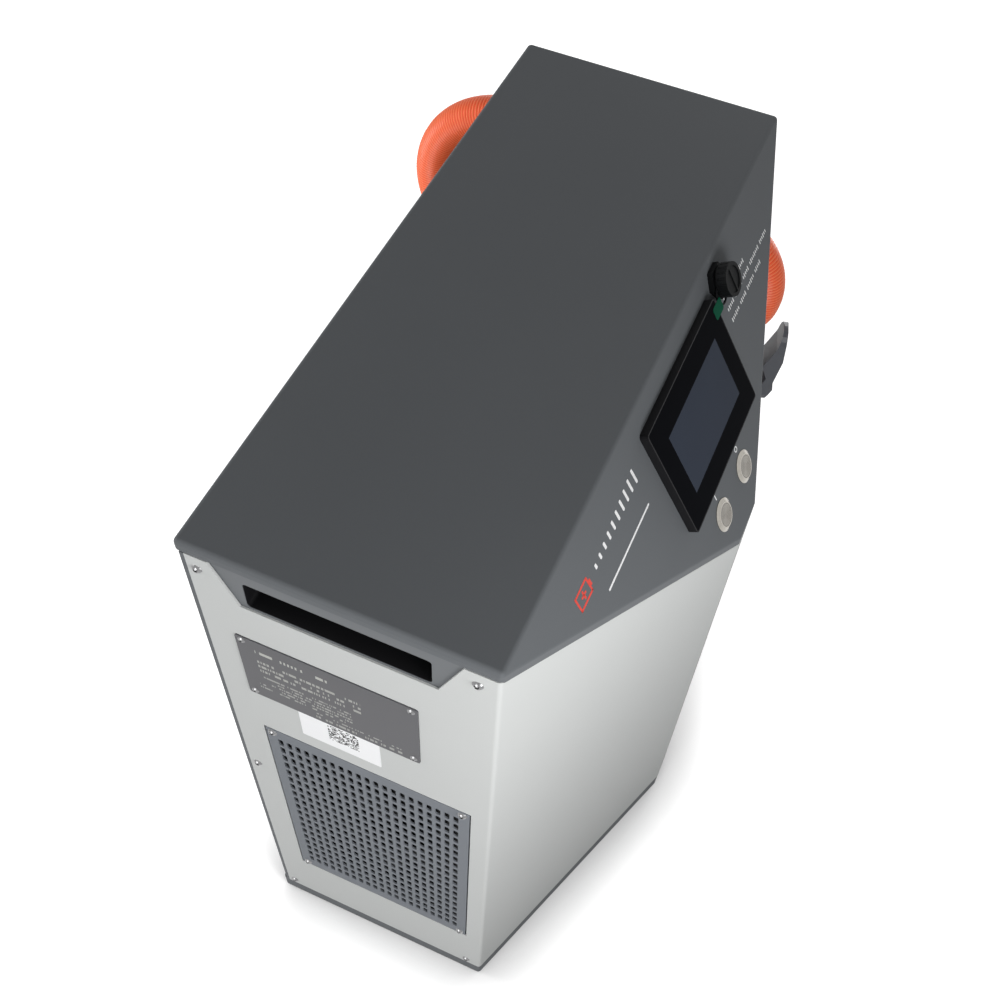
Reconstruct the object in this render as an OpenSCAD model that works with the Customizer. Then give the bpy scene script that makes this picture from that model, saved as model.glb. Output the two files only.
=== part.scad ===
// Free-standing charger cabinet for forklift batteries, in millimetres.
// +Z is up, the prow with the control panel faces -Y, and the cable hangs on the +X end.

/* [Cabinet] */
// Width across the two end faces
cabinet_width = 580; // [560:1:640]
// Depth of an end face
end_depth = 228; // [226:1:260]
// How far the prow stands out in front of the end faces
prow_reach = 97; // [90:1:115]
// Width of the flat strip at the tip of the prow
prow_flat = 38; // [30:1:60]
// Height from the floor to the flat top
cabinet_height = 673; // [660:1:740]
// Height lost along the sloping control panel
slope_drop = 162; // [155:1:175]
// Sheet thickness of the folded covers
sheet = 1.5; // [1.2:0.1:2]
// Sheet thickness of the chassis, which carries the weight when the cabinet is lifted
chassis_sheet = 2; // [1.5:0.1:2.5]
// Outer radius of the folds
fold_radius = 4; // [3:0.5:6]
// Play between one folded cover and the next
panel_play = 0.2; // [0.2:0.05:0.4]
// Height of the hem round the top cover
hem = 9; // [7:0.5:12]
// Open joint between the hem and the light wrap
shadow_gap = 1.5; // [1:0.25:2.5]
// Strip of chassis left bare behind the wrap
wrap_setback = 4; // [3:0.5:6]

/* [Base] */
// Height of the base tray's walls
tray_height = 19; // [16:1:26]
// Thickness of the foot pads
foot_height = 3; // [2:0.5:5]
// Length of a foot pad
foot_length = 80; // [50:1:100]
// Width of a foot pad
foot_width = 24; // [16:1:30]
// Distance of the foot pads from the tray's edge
foot_inset = 3; // [1:0.5:8]

/* [Hand slot] */
// Width of the hand slot
slot_width = 134; // [110:1:140]
// Height of the hand slot
slot_height = 28; // [25:1:30]
// Bottom edge of the slot below the cabinet's top
slot_below_top = 51; // [48:0.5:54]
// Depth of the pocket behind the slot
pocket_depth = 42; // [36:1:55]
// Wall of the pocket
pocket_wall = 2; // [1.5:0.1:2.5]
// How far the pocket's front plate reaches below the slot
pocket_plate_drop = 12; // [10:0.5:16]
// Width of the wrap's notch along its top edge
notch_top = 179; // [170:1:184]
// Width of the wrap's notch along its bottom edge
notch_bottom = 144; // [142:1:160]
// Play between the notch's bottom edge and the slot
notch_below_slot = 2; // [1:0.5:4]

/* [Grille] */
// Width of the opening in the wrap
grille_width = 179; // [174:1:182]
// Height of the opening in the wrap
grille_height = 318; // [312:1:326]
// Height of the opening's bottom edge over the floor
grille_bottom = 112; // [104:1:120]
// Distance of the opening from the front corner of the end
grille_from_front = 16; // [12:1:20]
// Gap between the grille plate and its opening
grille_gap = 1.2; // [0.8:0.1:2]
// Width of a hole
hole_width = 4.6; // [4:0.1:5.2]
// Height of a hole
hole_height = 11; // [9:0.5:12.5]
// Corner cut of a hole
hole_corner = 1; // [0.6:0.1:1.6]
// Spacing of the holes across
hole_pitch_y = 7.68; // [7.2:0.01:7.7]
// Spacing of the holes up
hole_pitch_z = 15.16; // [14.6:0.01:15.2]
// Holes across
hole_columns = 21; // [17:1:21]
// Holes up
hole_rows = 19; // [15:1:19]
// Width of the chassis wall's air opening
air_width = 158; // [150:1:159]
// Height of the chassis wall's air opening
air_height = 284; // [276:1:290]

/* [Fasteners] */
// Diameter of a screw's pan head
head_diameter = 8; // [7:0.1:8.5]
// Height of a screw's pan head
head_height = 2.6; // [2:0.1:3]
// Diameter of a screw's shank
shank_diameter = 3; // [2.5:0.1:3.4]
// Length of a screw's shank
shank_length = 7; // [6:0.5:9]
// Play round a shank
shank_play = 0.15; // [0.1:0.05:0.3]
// Length of the cross recess in a head
recess_length = 4.6; // [4:0.1:5.2]
// Width of the cross recess
recess_width = 1; // [0.8:0.1:1.2]
// Depth of the cross recess
recess_depth = 1.3; // [1:0.1:1.6]
// Distance of the wrap screws from the end's vertical edges
wrap_screw_inset = 15; // [12:0.5:16]
// Height of the wrap screws above the wrap's bottom edge
wrap_screw_low = 11; // [9:0.5:14]
// Distance of the wrap screws below the cabinet's top
wrap_screw_high = 24; // [20:0.5:30]
// Height of the middle wrap screw over the floor
wrap_screw_mid = 339; // [300:1:380]
// Distance of the grille screws from the grille plate's edges
grille_screw_inset = 6; // [5.5:0.1:6.5]

/* [Plates] */
// Width of the nameplate
plate_width = 140; // [120:1:150]
// Height of the nameplate
plate_height = 87; // [70:1:92]
// Bottom edge of the nameplate over the floor
plate_bottom = 490; // [480:1:500]
// Distance of the nameplate from the back of the end
plate_from_back = 31; // [26:1:40]
// Thickness of the nameplate
plate_thick = 1; // [0.8:0.1:1.5]
// Distance of the rivets from the nameplate's edges
rivet_inset = 5; // [4.5:0.5:8]
// Diameter of a rivet head
rivet_diameter = 6; // [5:0.5:7]
// Height of a rivet head
rivet_height = 1.4; // [1:0.1:2]
// Diameter of the hole in a rivet head
rivet_hole = 2; // [1.6:0.1:2.4]
// Width of the paper label
label_width = 67; // [50:1:80]
// Height of the paper label
label_height = 41; // [30:1:44]
// Thickness of the paper label
label_thick = 0.2; // [0.2:0.05:0.4]

/* [Screen] */
// Width of the touch screen
screen_width = 148; // [140:1:160]
// Height of the touch screen along the slope
screen_height = 102; // [96:1:104]
// Distance of the screen's middle down the slope
screen_middle = 69.5; // [66:0.5:74]
// How far the screen stands out of the panel
screen_proud = 7; // [5:0.5:10]
// Thickness of the front glass
glass_thick = 1.2; // [1:0.1:2]
// Rim of the housing round the glass
glass_rim = 1; // [0.8:0.1:2]
// Width of the lit display
display_width = 106; // [96:1:112]
// Height of the lit display
display_height = 57.5; // [52:0.5:64]
// Width of the housing behind the panel
screen_box_width = 130; // [120:1:134]
// Height of the housing behind the panel
screen_box_height = 84; // [78:1:88]
// Depth of the housing behind the panel
screen_box_depth = 32; // [25:1:40]
// Play of the housing in the panel's opening
screen_play = 0.3; // [0.2:0.05:0.6]
// Length of the film tab at the screen's corner
tab_length = 16; // [12:1:20]
// Width of the film tab
tab_width = 11; // [8:1:14]

/* [Buttons] */
// Distance between the two buttons
button_spacing = 52; // [46:1:60]
// Distance of the buttons down the slope
button_down = 153; // [149:0.5:154]
// Outer diameter of a button's bezel
bezel_diameter = 27; // [25:0.5:29]
// Height of the bezel
bezel_height = 2.2; // [2:0.1:4]
// Diameter of the cap
cap_diameter = 18; // [16:0.5:18]
// Play round the cap
cap_play = 0.3; // [0.25:0.05:0.5]
// Travel of the cap
cap_travel = 2.5; // [2:0.1:3]
// Diameter of the threaded barrel
barrel_diameter = 21.6; // [20.4:0.1:22]
// Length of the barrel behind the panel
barrel_length = 30; // [24:1:34]
// Play of the barrel in the panel
barrel_play = 0.3; // [0.2:0.05:0.5]
// Width of the back nut across its flats
nut_flats = 27; // [25:0.5:28]
// Thickness of the back nut
nut_thick = 4; // [3:0.5:5]

/* [Socket] */
// Distance of the socket from mid-width
socket_x = 97; // [95:1:110]
// Distance of the socket down the slope
socket_down = 20.5; // [19:0.5:26]
// Width of the hex nut across its flats
socket_nut_flats = 25; // [23:0.5:26]
// Thickness of the hex nut
socket_nut_thick = 4.5; // [4:0.5:6]
// Outer diameter of the socket's barrel
socket_diameter = 19; // [17:0.5:20]
// Length of the socket behind the panel
socket_depth = 26; // [20:1:30]
// Diameter of the screw cap
socket_cap_diameter = 27; // [25:0.5:28]
// Height of the screw cap
socket_cap_height = 8.5; // [8:0.5:11]
// Wall of the screw cap
socket_cap_wall = 2; // [1.5:0.1:2.5]
// Grip flutes round the screw cap
socket_cap_flutes = 18; // [12:1:24]
// Play under and inside the screw cap
socket_cap_play = 0.4; // [0.3:0.05:0.6]
// Thickness of the tether
tether_diameter = 1.8; // [1.4:0.1:2.4]
// Radius of the tether's loop
tether_radius = 9; // [8:0.5:10]
// Direction in which the tether's loop hangs
tether_turn = 214; // [200:1:270]

/* [Cable] */
// Outer diameter of the corrugated conduit
conduit_diameter = 40; // [36:1:40]
// Distance of the elbow fitting from the middle of the end, towards the front
elbow_from_middle = 76; // [72:1:78]
// Height of the elbow fitting over the floor
elbow_height = 72; // [68:1:78]
// Bend radius of the elbow fitting
elbow_bend = 35; // [33:1:38]
// Outer diameter of the elbow fitting
elbow_diameter = 46; // [44:1:48]
// Length of the hanger's saddle
hanger_reach = 132; // [130:1:150]
// Outer radius of the hanger's saddle
hanger_radius = 61; // [55:0.5:61]
// Plate thickness of the hanger
hanger_plate = 3; // [2:0.5:4]
// Height of the hanger's lip over its saddle
hanger_lip = 34; // [24:1:40]
// Angle of the saddle either side of its crown
hanger_half_angle = 68; // [55:1:75]

/* [Air system] */
// Side of a square fan frame
fan_side = 120; // [114:1:124]
// Depth of a fan frame
fan_depth = 38; // [32:1:40]
// Bore of a fan frame
fan_bore = 114; // [108:1:116]
// Gap between the blades and the bore
blade_gap = 1.5; // [1:0.1:2.5]
// Blades of a rotor
blade_count = 7; // [5:1:9]
// Pitch of the blades
blade_pitch = 34; // [28:1:40]
// Diameter of a rotor's hub
hub_diameter = 44; // [38:1:50]
// Diameter of the rotor's shaft
shaft_diameter = 6; // [5:0.5:8]
// Play round the rotor's shaft
shaft_play = 0.3; // [0.2:0.05:0.5]
// Distance between the two fans' middles
fan_spacing = 126; // [125:1:132]

/* [Power stage] */
// Length of a power module
module_length = 396; // [360:1:400]
// Depth of a power module
module_depth = 180; // [160:1:184]
// Height of a power module
module_height = 92; // [80:1:94]
// Height from one module to the next
module_step = 104; // [102:1:110]
// Height of the lowest module over the tray's floor
module_lift = 104; // [90:1:112]
// Plate thickness of the rack
rack_plate = 2; // [1.5:0.5:3]
// Width of the rack's ledges
ledge_width = 18; // [12:1:24]
// Thickness of the mounting plate
mount_plate = 2; // [1.5:0.5:3]
// Width of the mounting plate
mount_width = 380; // [360:1:390]
// Height of the mounting plate
mount_height = 430; // [420:1:450]

/* [Hidden] */
$fn = 64;

// Colours
dark_grey = [0.30, 0.31, 0.32];
light_grey = [0.83, 0.84, 0.83];
mid_grey = [0.46, 0.47, 0.49];
black = [0.05, 0.05, 0.06];
steel = [0.75, 0.75, 0.76];
orange = [0.95, 0.33, 0.15];
plug_grey = [0.22, 0.23, 0.25];
copper = [0.78, 0.47, 0.28];
board_green = [0.06, 0.33, 0.20];

// Main planes
half_width = cabinet_width / 2;
total_depth = end_depth + prow_reach;
back_y = total_depth / 2;
edge_y = back_y - end_depth;
prow_y = -total_depth / 2;
end_middle_y = back_y - end_depth / 2;
flare = atan2(prow_reach, half_width - prow_flat / 2);
slope = atan2(slope_drop, prow_reach);
slope_length = norm([slope_drop, prow_reach]);
top_z = cabinet_height;
tray_z = foot_height;
floor_z = tray_z + sheet;
wrap_z = tray_z + tray_height;
joint_drop = hem + shadow_gap;
chassis_inset = sheet + panel_play;
wall_inset = chassis_inset + chassis_sheet;
inner_x = half_width - wall_inset;
slab = 60;

// The cabinet's mid-plane lies off the origin, which is the middle of the whole width with the hanger
mid_x = -(hanger_reach - head_height) / 2;

// Air opening, shared by wrap, chassis, grille and fans
grille_y = edge_y + grille_from_front + grille_width / 2;
grille_z = grille_bottom + grille_height / 2;
plate_w = grille_width - 2 * grille_gap;
plate_h = grille_height - 2 * grille_gap;

// Hand slot
slot_z = top_z - slot_below_top;
notch_z = slot_z - notch_below_slot;
cutout_z = slot_z - pocket_plate_drop;
cutout_width = notch_top + 3;
wrap_top = top_z - joint_drop;

// Outline of the cabinet, seen from above and moved inwards by i
function front_y(i) = edge_y - i * tan(flare) + i / cos(flare);
function prow_x(i) = half_width - (edge_y + i / cos(flare) - prow_y - i) / tan(flare);
function outline(i) = [
    [half_width - i, front_y(i)], [half_width - i, back_y - i],
    [i - half_width, back_y - i], [i - half_width, front_y(i)],
    [-prow_x(i), prow_y + i], [prow_x(i), prow_y + i]
];

// A polygon with each corner rounded to radius r in n steps
function unit(v) = v / norm(v);
function corner_arc(a, b, c, r, n) =
    let (u = unit(a - b), v = unit(c - b), half = acos(u * v) / 2)
    let (middle = b + unit(u + v) * r / sin(half))
    let (p = b + u * r / tan(half) - middle, q = b + v * r / tan(half) - middle)
    let (from = atan2(p[1], p[0]), turn = (atan2(q[1], q[0]) - from + 540) % 360 - 180)
    [for (k = [0 : n]) middle + r * [cos(from + turn * k / n), sin(from + turn * k / n)]];
function rounded(pts, r, n = 6) =
    let (m = len(pts))
    [for (k = [0 : m - 1]) each corner_arc(pts[(k + m - 1) % m], pts[k], pts[(k + 1) % m], r, n)];

// Height of the sloping panel, lowered by drop, at depth y
function slope_z(y, drop) = top_z - drop - (edge_y - y) * tan(slope);

// The block of space inside the outline between two heights
module block(i, z0, z1) {
    translate([0, 0, z0])
        linear_extrude(z1 - z0)
            polygon(rounded(outline(i), fold_radius - min(i, fold_radius - 1)));
}

// All space above the top and above the sloping panel, both lowered by drop
module above(drop) {
    far = prow_y - slab;
    rotate([90, 0, 90])
        linear_extrude(cabinet_width + 2 * slab, center = true)
            polygon([
                [back_y + slab, top_z - drop], [edge_y, top_z - drop], [far, slope_z(far, drop)],
                [far, top_z + slab], [back_y + slab, top_z + slab]
            ]);
}

// Moves a piece from the cabinet's mid-plane into the frame
module from_middle() {
    translate([mid_x, 0, 0])
        children();
}

// Places a child on the sloping panel: x from mid-width, s down the slope, child's +Z outwards
module on_slope(x, s) {
    translate([x, edge_y - s * cos(slope), top_z - s * sin(slope)])
        rotate([slope, 0, 0])
            children();
}

// Places a child on an end face: side -1 is the near end, child's +Z outwards and +Y up
module on_end(side, y, z, depth = 0) {
    translate([side * (half_width - depth), y, z])
        rotate([90, 0, side * 90])
            children();
}

// A flat bar with rounded corners, centred on the origin, its base at z = 0
module slab_box(w, h, t, r) {
    linear_extrude(t)
        polygon(rounded([[w / 2, -h / 2], [w / 2, h / 2], [-w / 2, h / 2], [-w / 2, -h / 2]], r, 4));
}

// A domed head that stands on z = 0
module domed_head(d, h) {
    dome = (pow(d / 2, 2) + pow(h, 2)) / (2 * h);
    intersection() {
        translate([0, 0, h - dome])
            sphere(dome);
        cylinder(h = h, d = d);
    }
}

// A pan-head screw with a cross recess, its shank below z = 0
module pan_screw() {
    difference() {
        domed_head(head_diameter, head_height);
        for (turn = [45, 135])
            rotate([0, 0, turn])
                translate([-recess_length / 2, -recess_width / 2, head_height - recess_depth])
                    cube([recess_length, recess_width, recess_depth + 1]);
    }
    translate([0, 0, -shank_length])
        cylinder(h = shank_length + (head_height - recess_depth) / 2, d = shank_diameter);
}

module hex(flats, thick) {
    cylinder(h = thick, d = flats / cos(30), $fn = 6);
}

// Places of the wrap screws on an end: two at the front corner, three at the back
wrap_screw_spots = [
    [back_y - wrap_screw_inset, top_z - wrap_screw_high],
    [back_y - wrap_screw_inset, wrap_screw_mid],
    [back_y - wrap_screw_inset, wrap_z + wrap_screw_low],
    [edge_y + wrap_screw_inset, top_z - wrap_screw_high],
    [edge_y + wrap_screw_inset, wrap_z + wrap_screw_low]
];
grille_screw_spots = [
    for (a = [-1, 1], b = [-1, 1])
        [grille_y + a * (plate_w / 2 - grille_screw_inset), grille_z + b * (plate_h / 2 - grille_screw_inset)]
];

module screw_holes(side, spots, depth) {
    for (p = spots)
        on_end(side, p[0], p[1], depth)
            translate([0, 0, -slab / 4])
                cylinder(h = slab / 2, d = shank_diameter + 2 * shank_play);
}

// Folded base tray that follows the cabinet's outline
module base_tray() {
    from_middle() color(dark_grey)
        difference() {
            block(0, tray_z, wrap_z);
            block(sheet, floor_z, wrap_z + 1);
        }
}

// Flat pads under the tray: two along the back, two at the front corners and one under the prow
pad_y = back_y - foot_inset - foot_width / 2;
pad_x = half_width - foot_inset - foot_length / 2;
module foot_pads() {
    from_middle() color(black) {
        for (side = [-1, 1]) {
            translate([side * pad_x, pad_y, 0])
                slab_box(foot_length, foot_width, foot_height, 3);
            translate([side * pad_x, edge_y + foot_inset + foot_width / 2, 0])
                slab_box(foot_length, foot_width, foot_height, 3);
        }
        translate([0, prow_y + foot_inset + foot_width / 2, 0])
            slab_box(prow_flat, foot_width, foot_height, 3);
    }
}

// Back and both end walls, folded from one sheet, with the air openings and the hand slots
module chassis_shell() {
    from_middle() color(dark_grey)
        difference() {
            block(chassis_inset, floor_z, top_z - fold_radius);
            block(wall_inset, floor_z - 1, top_z);
            translate([-cabinet_width, edge_y + chassis_inset - total_depth, 0])
                cube([2 * cabinet_width, total_depth, 2 * cabinet_height]);
            for (side = [-1, 1]) {
                on_end(side, grille_y, grille_z, wall_inset)
                    translate([-air_width / 2, -air_height / 2, -slab / 4])
                        cube([air_width, air_height, slab / 2]);
                on_end(side, end_middle_y, cutout_z, wall_inset)
                    translate([-cutout_width / 2, 0, -slab / 4])
                        cube([cutout_width, cabinet_height, slab / 2]);
                screw_holes(side, wrap_screw_spots, wall_inset);
                screw_holes(side, grille_screw_spots, wall_inset);
            }
            on_end(1, elbow_y, elbow_height, wall_inset)
                translate([0, 0, -slab / 4])
                    cylinder(h = slab / 2, d = elbow_thread + 2 * panel_play);
            on_end(1, gland_y, elbow_height, wall_inset)
                translate([0, 0, -slab / 4])
                    cylinder(h = slab / 2, d = gland_thread + 2 * panel_play);
            screw_holes(1, hanger_spots, wall_inset);
        }
}

// Light wrap over both ends and the prow, with a notch and an air opening in each end
module front_wrap() {
    from_middle() color(light_grey)
        difference() {
            block(0, wrap_z, top_z);
            block(sheet, wrap_z - 1, top_z + 1);
            above(joint_drop);
            translate([-cabinet_width, back_y - wrap_setback, 0])
                cube([2 * cabinet_width, total_depth, 2 * cabinet_height]);
            for (side = [-1, 1]) {
                on_end(side, end_middle_y, notch_z)
                    translate([0, 0, -slab / 4])
                        linear_extrude(slab / 2)
                            polygon([
                                [-notch_bottom / 2, 0], [notch_bottom / 2, 0],
                                [notch_top / 2, wrap_top - notch_z], [notch_top / 2, wrap_top - notch_z + 9],
                                [-notch_top / 2, wrap_top - notch_z + 9], [-notch_top / 2, wrap_top - notch_z]
                            ]);
                on_end(side, grille_y, grille_z)
                    translate([-grille_width / 2, -grille_height / 2, -slab / 4])
                        cube([grille_width, grille_height, slab / 2]);
                screw_holes(side, wrap_screw_spots, 0);
            }
            on_end(1, elbow_y, elbow_height)
                translate([0, 0, -slab / 4])
                    cylinder(h = slab / 2, d = elbow_thread + 2 * panel_play);
            on_end(1, gland_y, elbow_height)
                translate([0, 0, -slab / 4])
                    cylinder(h = slab / 2, d = gland_thread + 2 * panel_play);
            screw_holes(1, hanger_spots, 0);
        }
}

// Strip behind the joint between the hem and the wrap, along both prow faces
rail_width = 42;
module front_rail() {
    from_middle() color(dark_grey)
        difference() {
            intersection() {
                block(chassis_inset, wrap_z, top_z);
                above(joint_drop + rail_width);
            }
            block(wall_inset, 0, top_z + 1);
            above(2 * sheet / cos(slope));
            translate([-cabinet_width, edge_y, 0])
                cube([2 * cabinet_width, total_depth, 2 * cabinet_height]);
        }
}

// The cover's rounded outer or inner form: balls at its corners, in one hull
module cover_form(r) {
    i = fold_radius;
    crease_y = edge_y + (i / cos(slope) - i) / tan(slope);
    low = slope_z(prow_y, 0) - slab;
    rim = outline(i);
    hull() {
        for (p = rim)
            translate([p[0], p[1], low])
                sphere(r, $fn = 32);
        for (p = rim)
            translate([p[0], p[1], min(top_z - i, slope_z(p[1], i / cos(slope)))])
                sphere(r, $fn = 32);
        for (x = [i - half_width, half_width - i])
            translate([x, crease_y, top_z - i])
                sphere(r, $fn = 32);
    }
}

// Folded top cover: flat top, sloping panel and hem
module top_cover() {
    from_middle() color(dark_grey)
        difference() {
            cover_form(fold_radius);
            cover_form(fold_radius - sheet);
            difference() {
                block(-fold_radius, 0, top_z);
                above(hem);
            }
            on_slope(0, screen_middle)
                translate([0, 0, -slab / 4])
                    slab_box(
                        screen_box_width + 2 * screen_play, screen_box_height + 2 * screen_play, slab / 2, 3
                    );
            for (side = [-1, 1])
                on_slope(side * button_spacing / 2, button_down)
                    translate([0, 0, -slab / 4])
                        cylinder(h = slab / 2, d = barrel_diameter + 2 * barrel_play);
            on_slope(socket_x, socket_down)
                translate([0, 0, -slab / 4])
                    cylinder(h = slab / 2, d = socket_diameter + 2 * barrel_play);
        }
}

module wrap_screws() {
    from_middle() color(steel)
        for (side = [-1, 1], p = wrap_screw_spots)
            on_end(side, p[0], p[1])
                pan_screw();
}

// Perforated plate that lies on the chassis wall, level with the wrap
module grille(side) {
    first_y = -(hole_columns - 1) / 2 * hole_pitch_y;
    first_z = -(hole_rows - 1) / 2 * hole_pitch_z;
    w = hole_width / 2;
    h = hole_height / 2;
    k = hole_corner;
    from_middle() color(mid_grey)
        on_end(side, grille_y, grille_z, sheet)
            linear_extrude(sheet)
                difference() {
                    square([plate_w, plate_h], center = true);
                    for (c = [0 : hole_columns - 1], r = [0 : hole_rows - 1])
                        translate([first_y + c * hole_pitch_y, first_z + r * hole_pitch_z])
                            polygon([
                                [w, k - h], [w, h - k], [w - k, h], [k - w, h],
                                [-w, h - k], [-w, k - h], [k - w, -h], [w - k, -h]
                            ]);
                    for (p = grille_screw_spots)
                        translate([side * (p[0] - grille_y), p[1] - grille_z])
                            circle(d = shank_diameter + 2 * shank_play);
                }
}

module intake_grille() {
    grille(-1);
}

module exhaust_grille() {
    grille(1);
}

module grille_screws() {
    from_middle() color(steel)
        for (side = [-1, 1], p = grille_screw_spots)
            on_end(side, p[0], p[1])
                pan_screw();
}

// Moulded pocket for a hand: its front plate fills a cut-out in the chassis wall, flush with the
// outside, and a flange behind the plate laps over the wall
module hand_pocket(side) {
    lip = 5;
    flange = 2;
    play = 0.3;
    plate_low = -pocket_plate_drop - slot_height / 2;
    plate_high = top_z - fold_radius - slot_z - slot_height / 2 - play;
    from_middle() color(dark_grey)
        on_end(side, end_middle_y, slot_z + slot_height / 2, wall_inset)
            difference() {
                union() {
                    translate([0, 0, -pocket_depth])
                        slab_box(slot_width + 2 * pocket_wall, slot_height + 2 * pocket_wall, pocket_depth, 4);
                    translate([-cutout_width / 2 - lip, plate_low - lip, -flange])
                        cube([cutout_width + 2 * lip, plate_high - plate_low + lip, flange]);
                    translate([play - cutout_width / 2, plate_low + play, -flange])
                        cube([cutout_width - 2 * play, plate_high - plate_low - play, flange + chassis_sheet]);
                }
                translate([0, 0, pocket_wall - pocket_depth])
                    slab_box(slot_width, slot_height, pocket_depth + chassis_sheet, 3);
            }
}

module hand_pocket_left() {
    hand_pocket(-1);
}

module hand_pocket_right() {
    hand_pocket(1);
}

// Nameplate on the near end, with its rivets, and the label under it
plate_y = back_y - plate_from_back - plate_width / 2;
module nameplate() {
    from_middle() color(dark_grey)
        on_end(-1, plate_y, plate_bottom + plate_height / 2)
            slab_box(plate_width, plate_height, plate_thick, 2);
}

module nameplate_rivets() {
    from_middle() color(steel)
        for (a = [-1, 1], b = [-1, 1])
            on_end(-1, plate_y, plate_bottom + plate_height / 2, -plate_thick)
                translate([a * (plate_width / 2 - rivet_inset), b * (plate_height / 2 - rivet_inset), 0])
                    difference() {
                        domed_head(rivet_diameter, rivet_height);
                        translate([0, 0, rivet_height / 2])
                            cylinder(h = rivet_height, d = rivet_hole);
                    }
}

module paper_label() {
    from_middle() color("white")
        on_end(-1, plate_y - 3, plate_bottom - label_height / 2 - panel_play)
            slab_box(label_width, label_height, label_thick, 1);
}

// Touch screen: a frame outside the panel and a box behind it, in one moulding
module screen_housing() {
    from_middle() color(black)
        on_slope(0, screen_middle)
            difference() {
                union() {
                    slab_box(screen_width, screen_height, screen_proud, 3);
                    translate([0, 0, -screen_box_depth])
                        slab_box(screen_box_width, screen_box_height, screen_box_depth, 3);
                }
                translate([0, 0, screen_proud - glass_thick])
                    slab_box(screen_width - 2 * glass_rim, screen_height - 2 * glass_rim, screen_proud, 2);
            }
}

module screen_glass() {
    from_middle() color(black)
        on_slope(0, screen_middle)
            translate([0, 0, screen_proud - glass_thick])
                difference() {
                    slab_box(screen_width - 2 * glass_rim, screen_height - 2 * glass_rim, glass_thick, 2);
                    translate([-display_width / 2, -display_height / 2, -1])
                        cube([display_width, display_height, glass_thick + 2]);
                }
}

module display_panel() {
    from_middle() color([0.20, 0.23, 0.28])
        on_slope(0, screen_middle)
            translate([-display_width / 2, -display_height / 2, screen_proud - glass_thick])
                cube([display_width, display_height, glass_thick]);
}

// Pull tab of the glass's protective film, past the screen's upper corner
module film_tab() {
    from_middle() color([0.0, 0.45, 0.28])
        on_slope(screen_width / 2, screen_middle - screen_height / 2 + tab_width)
            translate([0, 0, screen_proud])
                slab_box(tab_length, tab_width, label_thick, 2);
}

// Push button: conical bezel, threaded barrel and switch block in one, with a well for the cap
cap_well = bezel_height + cap_travel;
module button_body(x) {
    well = cap_diameter / 2 + cap_play;
    edge = 0.6;
    flat = 1.1;
    stem = 3;
    from_middle() color(steel)
        on_slope(x, button_down)
            difference() {
                union() {
                    rotate_extrude()
                        polygon([
                            [0, 0], [bezel_diameter / 2, 0], [bezel_diameter / 2, edge],
                            [well + flat, bezel_height], [0, bezel_height]
                        ]);
                    translate([0, 0, -barrel_length])
                        cylinder(h = barrel_length + 1, d = barrel_diameter);
                }
                translate([0, 0, -cap_well])
                    cylinder(h = cap_well + bezel_height + 1, r = well);
                translate([0, 0, -cap_well - stem - cap_travel])
                    cylinder(h = cap_well + stem, d = stem + 2 * cap_play + 1);
            }
}

// Moving cap with a shallow dish and a stem into the switch
module button_cap(x) {
    dish = 0.5;
    stem = 3;
    bowl = (pow(cap_diameter / 2 - 1, 2) + pow(dish, 2)) / (2 * dish);
    from_middle() color(steel)
        on_slope(x, button_down)
            union() {
                difference() {
                    translate([0, 0, cap_travel - cap_well + cap_play])
                        cylinder(h = cap_well - cap_travel + bezel_height - cap_play, d = cap_diameter);
                    translate([0, 0, bezel_height + bowl - dish])
                        sphere(bowl, $fn = 128);
                }
                translate([0, 0, cap_travel - cap_well - stem - cap_travel / 2])
                    cylinder(h = stem + cap_travel, d = stem + 1);
            }
}

module start_button_body() {
    button_body(-button_spacing / 2);
}

module start_button_cap() {
    button_cap(-button_spacing / 2);
}

module stop_button_body() {
    button_body(button_spacing / 2);
}

module stop_button_cap() {
    button_cap(button_spacing / 2);
}

module button_nuts() {
    from_middle() color(steel)
        for (side = [-1, 1])
            on_slope(side * button_spacing / 2, button_down)
                translate([0, 0, -sheet - nut_thick - panel_play])
                    difference() {
                        hex(nut_flats, nut_thick);
                        translate([0, 0, -1])
                            cylinder(h = nut_thick + 2, d = barrel_diameter + 2 * panel_play);
                    }
}

// Round panel socket: barrel through the panel, a front nut and a screw cap on a tether
cap_base = socket_nut_thick + tether_diameter + 2 * socket_cap_play;
spigot_top = cap_base + socket_cap_height - socket_cap_wall - socket_cap_play;
spigot_diameter = socket_diameter - 1;
module socket_body() {
    from_middle() color(black)
        on_slope(socket_x, socket_down)
            union() {
                translate([0, 0, -socket_depth])
                    cylinder(h = socket_depth + socket_nut_thick, d = socket_diameter);
                cylinder(h = spigot_top, d = spigot_diameter);
                translate([0, 0, -sheet - panel_play - 3])
                    cylinder(h = 3, d = socket_diameter + 6);
            }
}

module socket_nut() {
    from_middle() color(black)
        on_slope(socket_x, socket_down)
            difference() {
                hex(socket_nut_flats, socket_nut_thick);
                translate([0, 0, -1])
                    cylinder(h = socket_nut_thick + 2, d = socket_diameter + 2 * panel_play);
            }
}

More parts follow.
